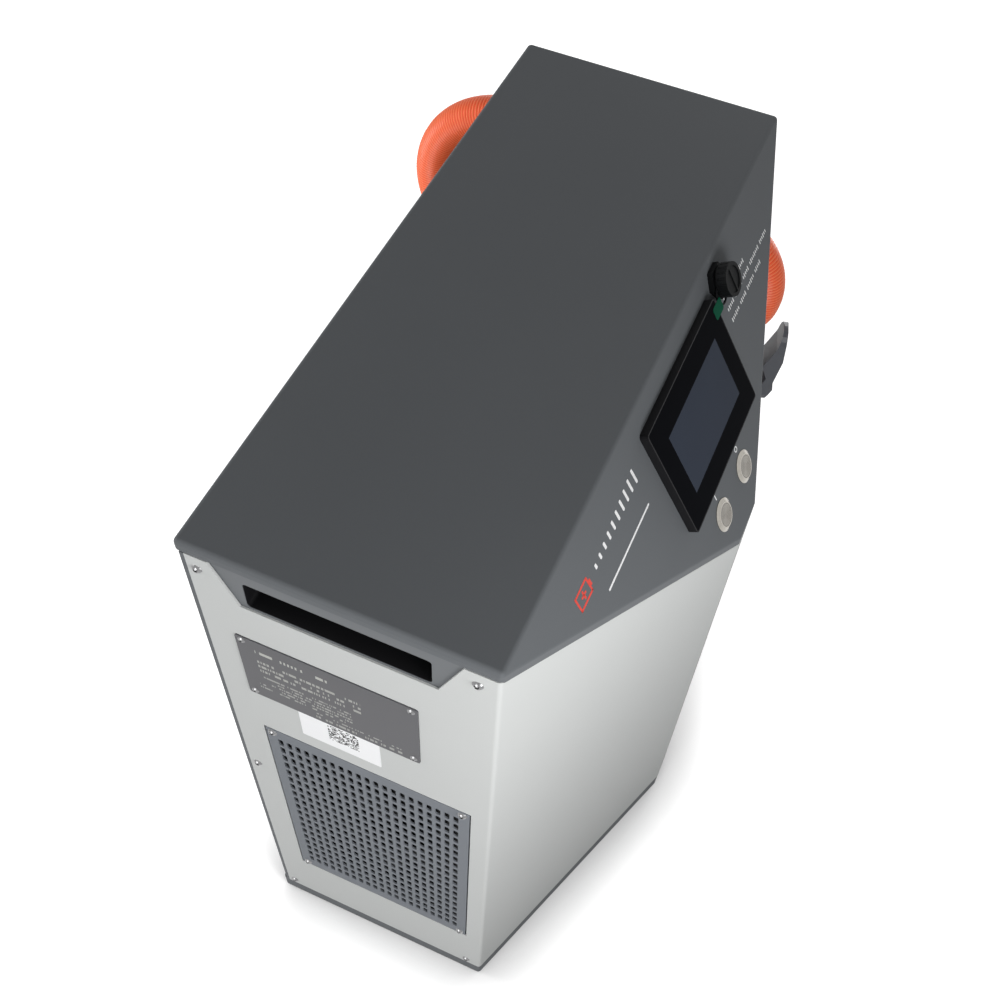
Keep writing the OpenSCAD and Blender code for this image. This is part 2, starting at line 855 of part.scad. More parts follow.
module socket_cap() {
    flute = socket_cap_diameter * PI / socket_cap_flutes / 4;
    from_middle() color(black)
        on_slope(socket_x, socket_down)
            translate([0, 0, cap_base])
                difference() {
                    cylinder(h = socket_cap_height, d = socket_cap_diameter);
                    translate([0, 0, -1])
                        cylinder(
                            h = socket_cap_height - socket_cap_wall + 1,
                            d = spigot_diameter + 2 * socket_cap_play
                        );
                    for (k = [0 : socket_cap_flutes - 1])
                        rotate([0, 0, 360 * k / socket_cap_flutes])
                            translate([socket_cap_diameter / 2 + flute / 2, 0, 1])
                                cylinder(h = socket_cap_height - 2, r = flute, $fn = 24);
                    translate([0, 0, socket_cap_height - 0.8])
                        difference() {
                            cylinder(h = 1, d = socket_cap_diameter - 6);
                            translate([-1, -socket_cap_diameter / 2, -1])
                                cube([2, socket_cap_diameter, 3]);
                        }
                }
}

// Tether: a ring round the spigot under the cap, and a loop that stands out beside it
module cap_tether() {
    ring = socket_diameter / 2 + tether_diameter;
    reach = 20;
    from_middle() color(black)
        on_slope(socket_x, socket_down)
            translate([0, 0, socket_nut_thick + socket_cap_play]) {
                difference() {
                    cylinder(h = tether_diameter, r = ring);
                    translate([0, 0, -1])
                        cylinder(h = tether_diameter + 2, d = spigot_diameter + 2 * panel_play);
                }
                difference() {
                    rotate([0, 0, tether_turn])
                        translate([reach - tether_radius, 0, tether_diameter / 2])
                            rotate_extrude()
                                translate([tether_radius - tether_diameter / 2, 0])
                                    circle(d = tether_diameter, $fn = 24);
                    translate([0, 0, -1])
                        cylinder(h = tether_diameter + 2, r = ring - tether_diameter / 4);
                }
            }
}

// Cable hanger on the far end: back plate, curved saddle and lip
hanger_over_grille = 10;
hanger_plate_w = 124;
hanger_plate_h = 94;
hanger_plate_z = grille_bottom + grille_height + hanger_over_grille;
hanger_y = 88;
hanger_z = hanger_plate_z + 21;
hanger_spots = [
    for (a = [-1, 1], b = [0, 1])
        [hanger_y + a * (b == 0 ? hanger_plate_w / 2 - 12 : 26), hanger_plate_z + (b == 0 ? 12 : 50)]
];
module saddle_sector(r, half_angle, thick) {
    linear_extrude(thick)
        intersection() {
            circle(r);
            polygon([
                [0, 0], r * 3 * [sin(half_angle), cos(half_angle)], [0, r * 3],
                r * 3 * [-sin(half_angle), cos(half_angle)]
            ]);
        }
}

module cable_hanger() {
    from_middle() color(dark_grey)
        difference() {
            union() {
                on_end(1, hanger_y, hanger_plate_z + hanger_plate_h / 2)
                    slab_box(hanger_plate_w, hanger_plate_h, hanger_plate, 8);
                on_end(1, hanger_y, hanger_z)
                    difference() {
                        saddle_sector(hanger_radius, hanger_half_angle, hanger_reach);
                        translate([0, 0, -1])
                            cylinder(h = hanger_reach + 2, r = hanger_radius - hanger_plate);
                    }
                on_end(1, hanger_y, hanger_z)
                    translate([0, 0, hanger_reach - hanger_plate])
                        difference() {
                            saddle_sector(hanger_radius + hanger_lip, hanger_half_angle - 20, hanger_plate);
                            translate([0, 0, -1])
                                cylinder(h = hanger_reach, r = hanger_radius - hanger_plate);
                        }
            }
            screw_holes(1, hanger_spots, 0);
        }
}

module hanger_screws() {
    from_middle() color(steel)
        for (p = hanger_spots)
            on_end(1, p[0], p[1], -hanger_plate)
                pan_screw();
}

// Elbow fitting for the conduit: thread and nut through the end wall, a bend, and a ribbed collar
elbow_y = end_middle_y - elbow_from_middle;
elbow_thread = 36;
elbow_flange = 5;
elbow_collar = 20;
elbow_out = elbow_flange + elbow_bend;
module conduit_elbow() {
    from_middle() color(black) {
        on_end(1, elbow_y, elbow_height) {
            cylinder(h = elbow_flange, d = elbow_diameter + 6, $fn = 6);
            translate([0, 0, -wall_inset - 8])
                cylinder(h = wall_inset + 8, d = elbow_thread);
            translate([0, 0, -wall_inset - 7])
                cylinder(h = 7, d = elbow_diameter, $fn = 6);
        }
        translate([half_width + elbow_flange, elbow_y, elbow_height + elbow_bend])
            rotate([-90, 0, 0])
                rotate_extrude(angle = 90)
                    translate([elbow_bend, 0])
                        circle(d = elbow_diameter - 4);
        translate([half_width + elbow_out, elbow_y, elbow_height + elbow_bend])
            difference() {
                cylinder(h = elbow_collar, d = elbow_diameter);
                translate([0, 0, elbow_collar / 2])
                    cylinder(h = elbow_collar, d = conduit_diameter + 2 * panel_play);
            }
    }
}

// Gland for the mains cable beside the elbow: an open seal bore outside, a wider bore through the thread
gland_y = end_middle_y + 40;
gland_thread = 25;
gland_bore = 15;
gland_back_bore = 18;
gland_dome = 23;
module mains_gland() {
    from_middle() color(black)
        on_end(1, gland_y, elbow_height)
            difference() {
                union() {
                    hex(33, 6);
                    rotate_extrude()
                        polygon([
                            [0, 0], [14, 0], [14, gland_dome - 7], [13, gland_dome - 3],
                            [11, gland_dome], [0, gland_dome]
                        ]);
                    translate([0, 0, -wall_inset - 8])
                        cylinder(h = wall_inset + 9, d = gland_thread);
                    translate([0, 0, -wall_inset - 6])
                        hex(30, 6);
                }
                cylinder(h = 2 * gland_dome, d = gland_bore);
                translate([0, 0, -wall_inset - 9])
                    cylinder(h = wall_inset + 10, d = gland_back_bore);
            }
}

// Conduit: the free stretches as tubes, the wound part as one hank with round ends.
// The points are given from the middle of the cabinet's width.
lead_points = [
    [330, -27.5, 117], [330, -27, 160], [329, -25, 210], [326, -18, 260], [322, -4, 305],
    [318, 18, 342], [315, 50, 372], [314, 84, 385]
];
tail_points = [[396, -46, 450], [396, -46, 420], [396, -46, 390], [396, -46, 360], [396, -46, 335]];
function path_dir(p, k) = unit(p[min(k + 1, len(p) - 1)] - p[max(k - 1, 0)]);
function tube_ring(p, k, r, n) =
    let (t = path_dir(p, k), a = unit(cross(t, [1, 0, 0])), b = cross(t, a))
    [for (s = [0 : n - 1]) p[k] + r * (a * cos(360 * s / n) + b * sin(360 * s / n))];
module tube(p, r, n = 12) {
    m = len(p);
    polyhedron(
        points = [for (k = [0 : m - 1]) each tube_ring(p, k, r, n)],
        faces = concat(
            [[for (s = [0 : n - 1]) n - 1 - s]],
            [[for (s = [0 : n - 1]) (m - 1) * n + s]],
            [for (k = [0 : m - 2], s = [0 : n - 1])
                [k * n + s, k * n + (s + 1) % n, (k + 1) * n + (s + 1) % n, (k + 1) * n + s]]
        )
    );
}

// Outline of a belt round two circles of different size
function arc(c, r, from, to, n) =
    [for (k = [0 : n]) c + r * [cos(from + (to - from) * k / n), sin(from + (to - from) * k / n)]];
function belt(c1, r1, c2, r2, n = 24) =
    let (away = atan2(c2[1] - c1[1], c2[0] - c1[0]), lean = acos((r1 - r2) / norm(c2 - c1)))
    concat(arc(c1, r1, away + lean, away + 360 - lean, n), arc(c2, r2, away - lean, away + lean, n));
module hank_turn(x0, x1, c1, r1, c2, r2) {
    translate([x0, 0, 0])
        rotate([90, 0, 90])
            linear_extrude(x1 - x0)
                difference() {
                    polygon(belt(c1, r1, c2, r2));
                    polygon(belt(c1, r1 - conduit_diameter, c2, r2 - conduit_diameter));
                }
}

module conduit_lead() {
    from_middle() color(orange)
        tube(lead_points, conduit_diameter / 2);
}

module conduit_hank() {
    from_middle() color(orange) {
        hank_turn(294, 334, [176, 477], 111, [-22, 452], 92);
        hank_turn(334.5, 416, [132, 470], 105, [26, 455], 92);
    }
}

module conduit_tail() {
    from_middle() color(orange)
        tube(tail_points, conduit_diameter / 2);
}

// Plug at the cable's end: collar, shell with a twisted tongue for a grip, and two contacts
plug_x = 396;
plug_y = -46;
plug_top = 335;
plug_width = 46;
plug_depth = 62;
plug_height = 96;
grip_width = 33;
grip_height = 115;
grip_reach = 38;
grip_twist = 15;
module plug_collar() {
    from_middle() color(black)
        translate([plug_x, plug_y, plug_top - 22])
            difference() {
                cylinder(h = 34, d = conduit_diameter + 8);
                translate([0, 0, 22])
                    cylinder(h = 34, d = conduit_diameter + 2 * panel_play);
            }
}

// Grip: the side profile of a fin, cut to the front outline of a tongue with a round end
module plug_grip() {
    rotate([90, 0, 90])
        linear_extrude(grip_width, center = true)
            polygon(rounded([
                [grip_reach + 4, 4], [grip_reach + 4, 22], [6, 26], [1, 44], [9, 62], [-1, 92],
                [-4, grip_height], [-9, grip_height], [-12, 74], [-8, 38], [-10, 26], [-4, 8]
            ], 1.5, 3));
}

module plug_shell() {
    low = plug_top - 22 - plug_height;
    from_middle() color(plug_grey)
        difference() {
            union() {
                translate([plug_x, plug_y, low])
                    slab_box(plug_width, plug_depth, plug_height, 8);
                translate([plug_x + 4, plug_y - plug_depth / 2 - grip_reach, low])
                    rotate([0, 0, grip_twist])
                        intersection() {
                            plug_grip();
                            translate([0, slab, grip_height / 2])
                                rotate([90, 0, 0])
                                    slab_box(grip_width, grip_height, 2 * slab, grip_width / 2 - 1);
                        }
            }
            translate([plug_x, plug_y, low - 1])
                slab_box(plug_width - 8, plug_depth - 8, 40, 5);
        }
}

module plug_contacts() {
    low = plug_top - 22 - plug_height;
    from_middle() color(copper)
        for (a = [-1, 1])
            translate([plug_x, plug_y + a * 13, low + 4])
                cylinder(h = 35, d = 12);
}

// Fan plate behind the intake grille, with a bore for each fan
fan_x = inner_x;
module fan_plate() {
    from_middle() color(mid_grey)
        on_end(-1, grille_y, grille_z, wall_inset)
            translate([0, 0, -sheet])
                difference() {
                    slab_box(air_width + 24, air_height + 20, sheet, 4);
                    for (side = [-1, 1])
                        translate([0, side * fan_spacing / 2, -1])
                            cylinder(h = sheet + 2, d = fan_bore);
                    for (p = grille_screw_spots)
                        translate([-(p[0] - grille_y), p[1] - grille_z, -1])
                            cylinder(h = sheet + 2, d = shank_diameter + 2 * shank_play);
                }
}

// Fan frame: square body, round bore, four struts and a motor base with the shaft
motor_base = 6;
module fan_frame(z) {
    from_middle() color(black)
        on_end(-1, grille_y, z, wall_inset + sheet)
            translate([0, 0, -fan_depth]) {
                difference() {
                    slab_box(fan_side, fan_side, fan_depth, 8);
                    translate([0, 0, -1])
                        cylinder(h = fan_depth + 2, d = fan_bore);
                }
                cylinder(h = motor_base, d = hub_diameter);
                for (k = [0 : 3])
                    rotate([0, 0, 45 + 90 * k])
                        translate([hub_diameter / 2 - 2, -2.5, 0])
                            cube([(fan_bore - hub_diameter) / 2 + 4, 5, motor_base - 1]);
                cylinder(h = fan_depth - 10, d = shaft_diameter);
            }
}

// Rotor: cup hub on the shaft with flat pitched blades
module fan_rotor(z) {
    tip = fan_bore / 2 - blade_gap;
    thick = fan_depth - motor_base - 5;
    chord = (thick - 4) / sin(blade_pitch);
    from_middle() color(black)
        on_end(-1, grille_y, z, wall_inset + sheet)
            translate([0, 0, motor_base + 1 - fan_depth])
                difference() {
                    union() {
                        cylinder(h = thick, d = hub_diameter);
                        intersection() {
                            cylinder(h = thick, r = tip);
                            for (k = [0 : blade_count - 1])
                                rotate([0, 0, 360 * k / blade_count])
                                    translate([hub_diameter / 2 - 1, 0, thick / 2])
                                        rotate([blade_pitch, 0, 0])
                                            translate([0, -chord / 2, -0.9])
                                                cube([tip - hub_diameter / 2 + 4, chord, 1.8]);
                        }
                    }
                    translate([0, 0, -1])
                        cylinder(
                            h = fan_depth - 10 - motor_base + 1 + shaft_play,
                            d = shaft_diameter + 2 * shaft_play
                        );
                }
}

module upper_fan_frame() {
    fan_frame(grille_z + fan_spacing / 2);
}

module upper_fan_rotor() {
    fan_rotor(grille_z + fan_spacing / 2);
}

module lower_fan_frame() {
    fan_frame(grille_z - fan_spacing / 2);
}

module lower_fan_rotor() {
    fan_rotor(grille_z - fan_spacing / 2);
}

// Rack of folded plate: a foot plate and two end frames with ledges that carry the modules
rack_x = module_length / 2 + 2;
rack_front = edge_y + 10;
rack_back = back_y - wall_inset - 6;
module_y = (rack_back + rack_front) / 2;
rack_top = floor_z + module_lift + 3 * module_step;
module module_rack() {
    deep = rack_back - rack_front;
    from_middle() color(steel) {
        translate([-rack_x - rack_plate, rack_front, floor_z])
            cube([2 * (rack_x + rack_plate), deep, rack_plate]);
        for (side = [-1, 1]) {
            translate([side * (rack_x + rack_plate / 2), module_y, 0])
                difference() {
                    translate([-rack_plate / 2, -deep / 2, floor_z])
                        cube([rack_plate, deep, rack_top - floor_z]);
                    for (k = [0 : 2])
                        translate([-slab / 2, -deep / 2 + 22, floor_z + module_lift + k * module_step + 4])
                            cube([slab, deep - 44, module_height - 8]);
                }
            for (k = [0 : 2])
                translate([
                    side > 0 ? rack_x - ledge_width : -rack_x, rack_front,
                    floor_z + module_lift + k * module_step - rack_plate
                ])
                    cube([ledge_width, deep, rack_plate]);
        }
    }
}

// Power module: closed case with louvred ends
module power_module(k) {
    vents = 9;
    from_middle() color(steel)
        translate([0, module_y, floor_z + module_lift + k * module_step])
            difference() {
                translate([-module_length / 2, -module_depth / 2, 0])
                    cube([module_length, module_depth, module_height]);
                for (side = [-1, 1], v = [0 : vents - 1])
                    translate([
                        side * module_length / 2 - 4,
                        -module_depth / 2 + 30, 10 + v * (module_height - 20) / vents
                    ])
                        cube([8, module_depth - 60, (module_height - 20) / vents / 2]);
            }
}

module lower_power_module() {
    power_module(0);
}

module middle_power_module() {
    power_module(1);
}

module upper_power_module() {
    power_module(2);
}

// Mounting plate in front of the rack, and what stands on it
mount_y = rack_front - mount_plate;
module mounting_plate() {
    from_middle() color(mid_grey) {
        translate([-mount_width / 2, mount_y, floor_z])
            cube([mount_width, mount_plate, mount_height]);
        translate([-mount_width / 2, mount_y - 14, floor_z])
            cube([mount_width, 14 + mount_plate, mount_plate]);
    }
}

// Stands a child on the mounting plate: its +Z points to the prow
module on_plate(x, z) {
    translate([x, mount_y, floor_z + z])
        rotate([90, 0, 0])
            children();
}

module mains_contactor() {
    from_middle() color(black)
        on_plate(-66, 300) {
            slab_box(56, 80, 44, 3);
            slab_box(56, 52, 66, 3);
            for (k = [-1, 0, 1], b = [-1, 1])
                translate([k * 16, b * 33, 43])
                    cylinder(h = 2, d = 9, $fn = 24);
        }
}

module line_filter() {
    from_middle() color(steel)
        on_plate(-66, 150) {
            slab_box(100, 120, 2, 3);
            slab_box(76, 116, 48, 4);
            for (k = [-1, 0, 1], b = [-1, 1])
                translate([k * 20, b * 48, 47])
                    cylinder(h = 10, d = 8, $fn = 24);
        }
}

module output_contactor() {
    from_middle() color(black)
        on_plate(66, 300) {
            slab_box(70, 84, 6, 4);
            cylinder(h = 56, d = 60);
            slab_box(52, 20, 62, 4);
        }
}

module output_fuse() {
    from_middle() color([0.85, 0.83, 0.78])
        on_plate(66, 172) {
            slab_box(70, 90, 8, 3);
            for (b = [-1, 1])
                translate([0, b * 34, 0])
                    slab_box(44, 14, 34, 2);
            translate([0, -34, 21])
                rotate([-90, 0, 0])
                    cylinder(h = 68, d = 24);
        }
}

module terminal_block() {
    from_middle() color(black)
        on_plate(0, 52) {
            slab_box(150, 46, 20, 3);
            for (k = [-3 : 3])
                translate([k * 20, 0, 0])
                    slab_box(4, 46, 34, 1);
        }
}

// Two copper bars: one steps up from the fuse to the contactor, one runs down to the terminal block
bar_thick = 3;
module output_busbars() {
    low = 34;
    high = 62;
    from_middle() color(copper) {
        on_plate(58, 0)
            rotate([90, 0, 90])
                linear_extrude(16)
                    polygon([
                        [198, low], [254, low], [254, high], [306, high], [306, high + bar_thick],
                        [254 - bar_thick, high + bar_thick], [254 - bar_thick, low + bar_thick],
                        [198, low + bar_thick]
                    ]);
        on_plate(58, 60)
            translate([0, 0, low])
                cube([16, 86, bar_thick]);
    }
}

module control_board() {
    from_middle() color(board_green)
        on_plate(0, 386)
            translate([0, 0, 12]) {
                slab_box(200, 72, 1.6, 2);
                translate([-70, 0, 1.5])
                    slab_box(36, 44, 14, 2);
                translate([0, 8, 1.5])
                    slab_box(28, 28, 3, 1);
                for (k = [0 : 3])
                    translate([40 + k * 16, -14, 1.5])
                        cylinder(h = 18, d = 12, $fn = 32);
            }
}

module board_standoffs() {
    from_middle() color(steel)
        for (a = [-1, 1], b = [-1, 1])
            on_plate(a * 92, 386 + b * 28)
                hex(6, 12);
}

base_tray();
foot_pads();
chassis_shell();
front_wrap();
front_rail();
top_cover();
wrap_screws();
intake_grille();
exhaust_grille();
grille_screws();
hand_pocket_left();
hand_pocket_right();
nameplate();
nameplate_rivets();
paper_label();
screen_housing();
screen_glass();
display_panel();
film_tab();
start_button_body();
start_button_cap();
stop_button_body();
stop_button_cap();
button_nuts();
socket_body();
socket_nut();
socket_cap();
cap_tether();
cable_hanger();
hanger_screws();
conduit_elbow();
mains_gland();
conduit_lead();
conduit_hank();
conduit_tail();
plug_collar();
plug_shell();
plug_contacts();
fan_plate();
upper_fan_frame();
upper_fan_rotor();
lower_fan_frame();
lower_fan_rotor();
module_rack();
lower_power_module();
middle_power_module();
upper_power_module();
mounting_plate();
mains_contactor();
line_filter();
output_contactor();
output_fuse();
terminal_block();
output_busbars();
control_board();
board_standoffs();
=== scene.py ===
import math

import bpy
from mathutils import Matrix, Vector


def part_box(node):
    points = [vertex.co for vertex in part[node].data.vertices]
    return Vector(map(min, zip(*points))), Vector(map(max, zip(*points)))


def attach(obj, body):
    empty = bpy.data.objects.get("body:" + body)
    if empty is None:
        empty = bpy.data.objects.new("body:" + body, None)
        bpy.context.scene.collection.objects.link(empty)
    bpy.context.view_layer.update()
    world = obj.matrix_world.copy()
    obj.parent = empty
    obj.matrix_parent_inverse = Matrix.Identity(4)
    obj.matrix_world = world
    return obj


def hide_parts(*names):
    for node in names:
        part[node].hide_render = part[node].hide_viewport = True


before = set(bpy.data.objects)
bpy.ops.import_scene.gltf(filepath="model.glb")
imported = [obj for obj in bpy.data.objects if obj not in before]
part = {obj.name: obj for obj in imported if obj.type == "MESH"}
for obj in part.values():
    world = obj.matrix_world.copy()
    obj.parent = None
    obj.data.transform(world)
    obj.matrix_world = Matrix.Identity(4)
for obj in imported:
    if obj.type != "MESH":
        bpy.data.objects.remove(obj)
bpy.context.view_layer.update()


# Studio: a matt white floor, an even white surround and soft lamps: left, right, behind and close in front.
# The floor glows a little to the camera, so that it reads as white; ambient occlusion dims that glow next
# to the cabinet, a painted contact shadow, and the real shadow stays as well.
class Wire:
    """A shader socket. Operators on it add Math nodes, and node() adds any other node."""

    def __init__(self, socket):
        self.socket = socket

    def node(self, kind, settings, values, out=0):
        tree = self.socket.id_data
        step = tree.nodes.new("ShaderNode" + kind)
        for name, setting in settings.items():
            setattr(step, name, setting)
        for name, value in values.items():
            if isinstance(value, Wire):
                tree.links.new(value.socket, step.inputs[name])
            elif hasattr(value, "__len__") and len(value) == 3 and step.inputs[name].type == "RGBA":
                step.inputs[name].default_value = (*value, 1)
            else:
                step.inputs[name].default_value = value
        return Wire(step.outputs[out])

    def math(self, operation, a, b=0.0, c=0.0):
        return self.node("Math", {"operation": operation}, {0: a, 1: b, 2: c})

    def __add__(self, other):
        return self.math("ADD", self, other)

    def __sub__(self, other):
        return self.math("SUBTRACT", self, other)

    def __rsub__(self, other):
        return self.math("SUBTRACT", other, self)

    def __mul__(self, other):
        return self.math("MULTIPLY", self, other)

    def __truediv__(self, other):
        return self.math("DIVIDE", self, other)

    def __lt__(self, other):
        return self.math("LESS_THAN", self, other)

    def __gt__(self, other):
        return self.math("GREATER_THAN", self, other)

    __radd__ = __add__
    __rmul__ = __mul__

    def size(self):
        return self.math("ABSOLUTE", self)

    def colours(self, first, second):
        return self.node("Mix", {"data_type": "RGBA"}, {0: self, 6: first, 7: second}, 2)

    def noise(self, scale, detail=2.0, roughness=0.5, out=0):
        values = {"Vector": self, "Scale": scale, "Detail": detail, "Roughness": roughness}
        return self.node("TexNoise", {}, values, out)

    def axes(self):
        step = self.node("SeparateXYZ", {}, {"Vector": self}).socket.node
        return [Wire(socket) for socket in step.outputs]

    def turned(self, centre, turn):
        moved = self.node("VectorMath", {"operation": "SUBTRACT"}, {0: self, 1: centre})
        return moved.node("VectorRotate", {"rotation_type": "X_AXIS"}, {"Vector": moved, "Angle": turn})


def new_finish(name, **constants):
    finish = bpy.data.materials.new(name)
    finish.use_nodes = True
    shader = finish.node_tree.nodes["Principled BSDF"]
    for socket, value in constants.items():
        shader.inputs[socket.replace("_", " ")].default_value = value
    place = finish.node_tree.nodes.new("ShaderNodeTexCoord").outputs["Object"]
    return finish, shader, Wire(place)


def feed(shader, **wires):
    for socket, wire in wires.items():
        shader.id_data.links.new(wire.socket, shader.inputs[socket.replace("_", " ")])


def dress(finish, *names):
    for name in names:
        part[name].data.materials.clear()
        part[name].data.materials.append(finish)


def linear(red, green, blue):
    return tuple(
        (c / 255 + 0.055) ** 2.4 / 1.055 ** 2.4 if c > 10.3 else c / 255 / 12.92
        for c in (red, green, blue)
    )


bpy.context.scene.view_settings.view_transform = "Standard"

floor_glow = 0.8
shadow_reach = 0.07
shadow_depth = 2.5
bpy.ops.object.select_all(action="DESELECT")
bpy.ops.mesh.primitive_plane_add(size=9)
floor = bpy.context.object
floor.name = "floor"
board, shader, place = new_finish("floor_board", Roughness=0.9)
shader.inputs["Specular IOR Level"].default_value = 0.0
shader.inputs["Emission Strength"].default_value = floor_glow
# Painted shadow: ambient occlusion, raised to a power, dims the floor's glow close to the cabinet.
painted_contact_shadow = place.node("AmbientOcclusion", {"samples": 16}, {"Distance": shadow_reach}, 1)
feed(
    shader,
    Base_Color=place.noise(40, 3).colours((0.72, 0.72, 0.72), (0.75, 0.75, 0.75)),
    Emission_Color=painted_contact_shadow.math("POWER", painted_contact_shadow, shadow_depth),
)
tree = board.node_tree
bounce = tree.nodes.new("ShaderNodeBsdfDiffuse")
bounce.inputs["Color"].default_value = (0.06, 0.06, 0.06, 1)


def rays_shown(tree):
    seen = Wire(tree.nodes.new("ShaderNodeLightPath").outputs["Is Camera Ray"])
    mirrored = Wire(seen.socket.node.outputs["Is Glossy Ray"])
    passed = Wire(seen.socket.node.outputs["Is Transmission Ray"])
    return seen.math("MAXIMUM", seen, seen.math("MAXIMUM", mirrored, passed))


shown = rays_shown(tree)
both = shown.node("MixShader", {}, {0: shown, 1: Wire(bounce.outputs[0]), 2: Wire(shader.outputs[0])})
tree.links.new(both.socket, tree.nodes["Material Output"].inputs["Surface"])
floor.data.materials.append(board)

world = bpy.data.worlds.new("surround")
world.use_nodes = True
bpy.context.scene.world = world
surround = world.node_tree.nodes["Background"]
surround.inputs["Color"].default_value = (1, 1, 1, 1)
sky = 0.18
feed(surround, Strength=sky + rays_shown(world.node_tree) * (1 - sky))


def soft_lamp(name, place, target, size, power):
    bpy.ops.object.light_add(type="AREA", location=place)
    lamp = bpy.context.object
    lamp.name = name
    lamp.data.shape = "DISK"
    lamp.data.size = size
    lamp.data.energy = power
    lamp.rotation_euler = (Vector(target) - Vector(place)).to_track_quat("-Z", "Y").to_euler()


soft_lamp("left_lamp", (-3.06, 0.82, 0.8), (0, 0, 0.35), 1.6, 45)
soft_lamp("front_lamp", (-0.62, -0.62, 0.80), (-0.25, -0.1, 0.5), 0.45, 5.0)
soft_lamp("right_lamp", (2.9, -0.15, 0.9), (0, 0, 0.35), 1.6, 38)
soft_lamp("back_lamp", (-0.35, 1.55, 1.05), (0.2, 0.1, 0.5), 0.9, 13)


# Camera: close to the near end, above it and a little in front, looking down across the top.
# The lens and place come from the cabinet's own edges in the picture.
right = Vector((0.4020, -0.9150, 0.0342))
up = Vector((0.74076, 0.34697, 0.57523))
ahead = Vector((0.53822, 0.20588, -0.81727))
bpy.ops.object.camera_add()
camera = bpy.context.object
camera.data.sensor_width = 36
camera.data.lens = 44.16
camera.data.clip_start = 0.05
turned = Matrix((right, up, -ahead)).transposed().to_4x4()
camera.matrix_world = Matrix.Translation((-0.66766, -0.17735, 1.32466)) @ turned
bpy.context.scene.camera = camera


# Conduit: corrugated orange plastic tube that carries the charging cable to the plug.
# It leaves the elbow on the far end, hangs in three turns on the hanger and ends in the plug.
conduit_width = 0.040
groove_depth = 0.0012
rib_pitch = 0.0029
mid_x = -0.0647


def on_ring(x, y, z, radius, angle):
    return (x, y + radius * math.cos(math.radians(angle)), z + radius * math.sin(math.radians(angle)))


def half_turn(x0, x1, y, z, radius, start, stop, steps):
    for k in range(steps + 1):
        yield on_ring(x0 + (x1 - x0) * k / steps, y, z, radius, start + (stop - start) * k / steps)


lead = [
    (330, -27.5, 117), (330, -27.5, 138), (330, -27, 160), (329.5, -26, 185), (329, -25, 210),
    (327.5, -22, 236), (326, -18, 260), (324, -12, 283), (322, -4, 305), (320, 6, 325),
    (317.5, 20, 345), (315, 42, 364), (314, 72, 378), (314, 106, 383), (314, 142, 384.8),
]
turns = [
    *half_turn(314, 314, 176, 477, 91, -88.3, 102.7, 18),
    (314, 92, 551.3), (314, 27, 536.8),
    *half_turn(314, 314, -22, 452, 72, 102.7, 195, 10),
    *half_turn(319, 352, -22, 452, 72, 206, 269, 6),
    (355, 32, 381.5), (355, 84, 383.3),
    *half_turn(355, 355, 132, 470, 85, -89, 105, 16),
    (355, 76, 542.9), (355, 41.5, 533.7),
    *half_turn(355, 396, 26, 455, 72, 105, 271, 16),
    (396, 63, 383.7), (396, 98, 384.3),
    *half_turn(396, 396, 132, 470, 85, -89, 105, 16),
    (396, 76, 542.9), (396, 41.5, 533.7),
    *half_turn(396, 396, 26, 455, 72, 105, 180, 8),
]
tail = [(396, -46, 432), (396, -46, 405), (396, -46, 380), (396, -46, 355), (396, -46, 336)]
route = [Vector((x / 1000 + mid_x, y / 1000, z / 1000)) for x, y, z in lead + turns + tail]

centre_line = bpy.data.curves.new("conduit_line", "CURVE")
centre_line.dimensions = "3D"
centre_line.resolution_u = 6
spline = centre_line.splines.new("BEZIER")
spline.bezier_points.add(len(route) - 1)
for point, spot in zip(spline.bezier_points, route):
    point.co = spot
    point.handle_left_type = "AUTO"
    point.handle_right_type = "AUTO"
guide = bpy.data.objects.new("conduit_line", centre_line)
bpy.context.scene.collection.objects.link(guide)
bpy.context.view_layer.update()
conduit_length = spline.calc_length(resolution=32)
ribs = round(conduit_length / rib_pitch)
rib_pitch = conduit_length / ribs

bpy.ops.object.select_all(action="DESELECT")
crown = conduit_width / 2
groove = crown - groove_depth
bpy.ops.mesh.primitive_circle_add(vertices=24, radius=groove)
conduit = bpy.context.object
conduit.name = "conduit"
bpy.ops.object.mode_set(mode="EDIT")
bpy.ops.mesh.select_all(action="SELECT")
radius_below = groove
for rise, radius in ((0.2, groove), (0.3, crown), (0.2, crown), (0.3, groove)):
    bpy.ops.mesh.extrude_region_move(TRANSFORM_OT_translate={"value": (0, 0, rise * rib_pitch)})
    bpy.ops.transform.resize(value=(radius / radius_below, radius / radius_below, 1))
    radius_below = radius
bpy.ops.object.mode_set(mode="OBJECT")
heights = conduit.data.attributes.new("crest", "FLOAT", "POINT")
for vertex in conduit.data.vertices:
    heights.data[vertex.index].value = (vertex.co.xy.length - groove) / (crown - groove)

rows = conduit.modifiers.new("rows", "ARRAY")
rows.use_relative_offset = False
rows.use_constant_offset = True
rows.constant_offset_displace = (0, 0, rib_pitch)
rows.count = ribs
rows.use_merge_vertices = True
rows.merge_threshold = 0.0001
bend = conduit.modifiers.new("bend", "CURVE")
bend.object = guide
bend.deform_axis = "POS_Z"
bpy.ops.object.modifier_apply(modifier="rows")
bpy.ops.object.modifier_apply(modifier="bend")
bpy.data.objects.remove(guide)
bpy.ops.object.mode_set(mode="EDIT")
bpy.ops.mesh.select_all(action="SELECT")
bpy.ops.mesh.fill_holes(sides=0)
bpy.ops.mesh.select_all(action="SELECT")
bpy.ops.mesh.normals_make_consistent(inside=False)
bpy.ops.object.mode_set(mode="OBJECT")
bpy.ops.object.shade_smooth()

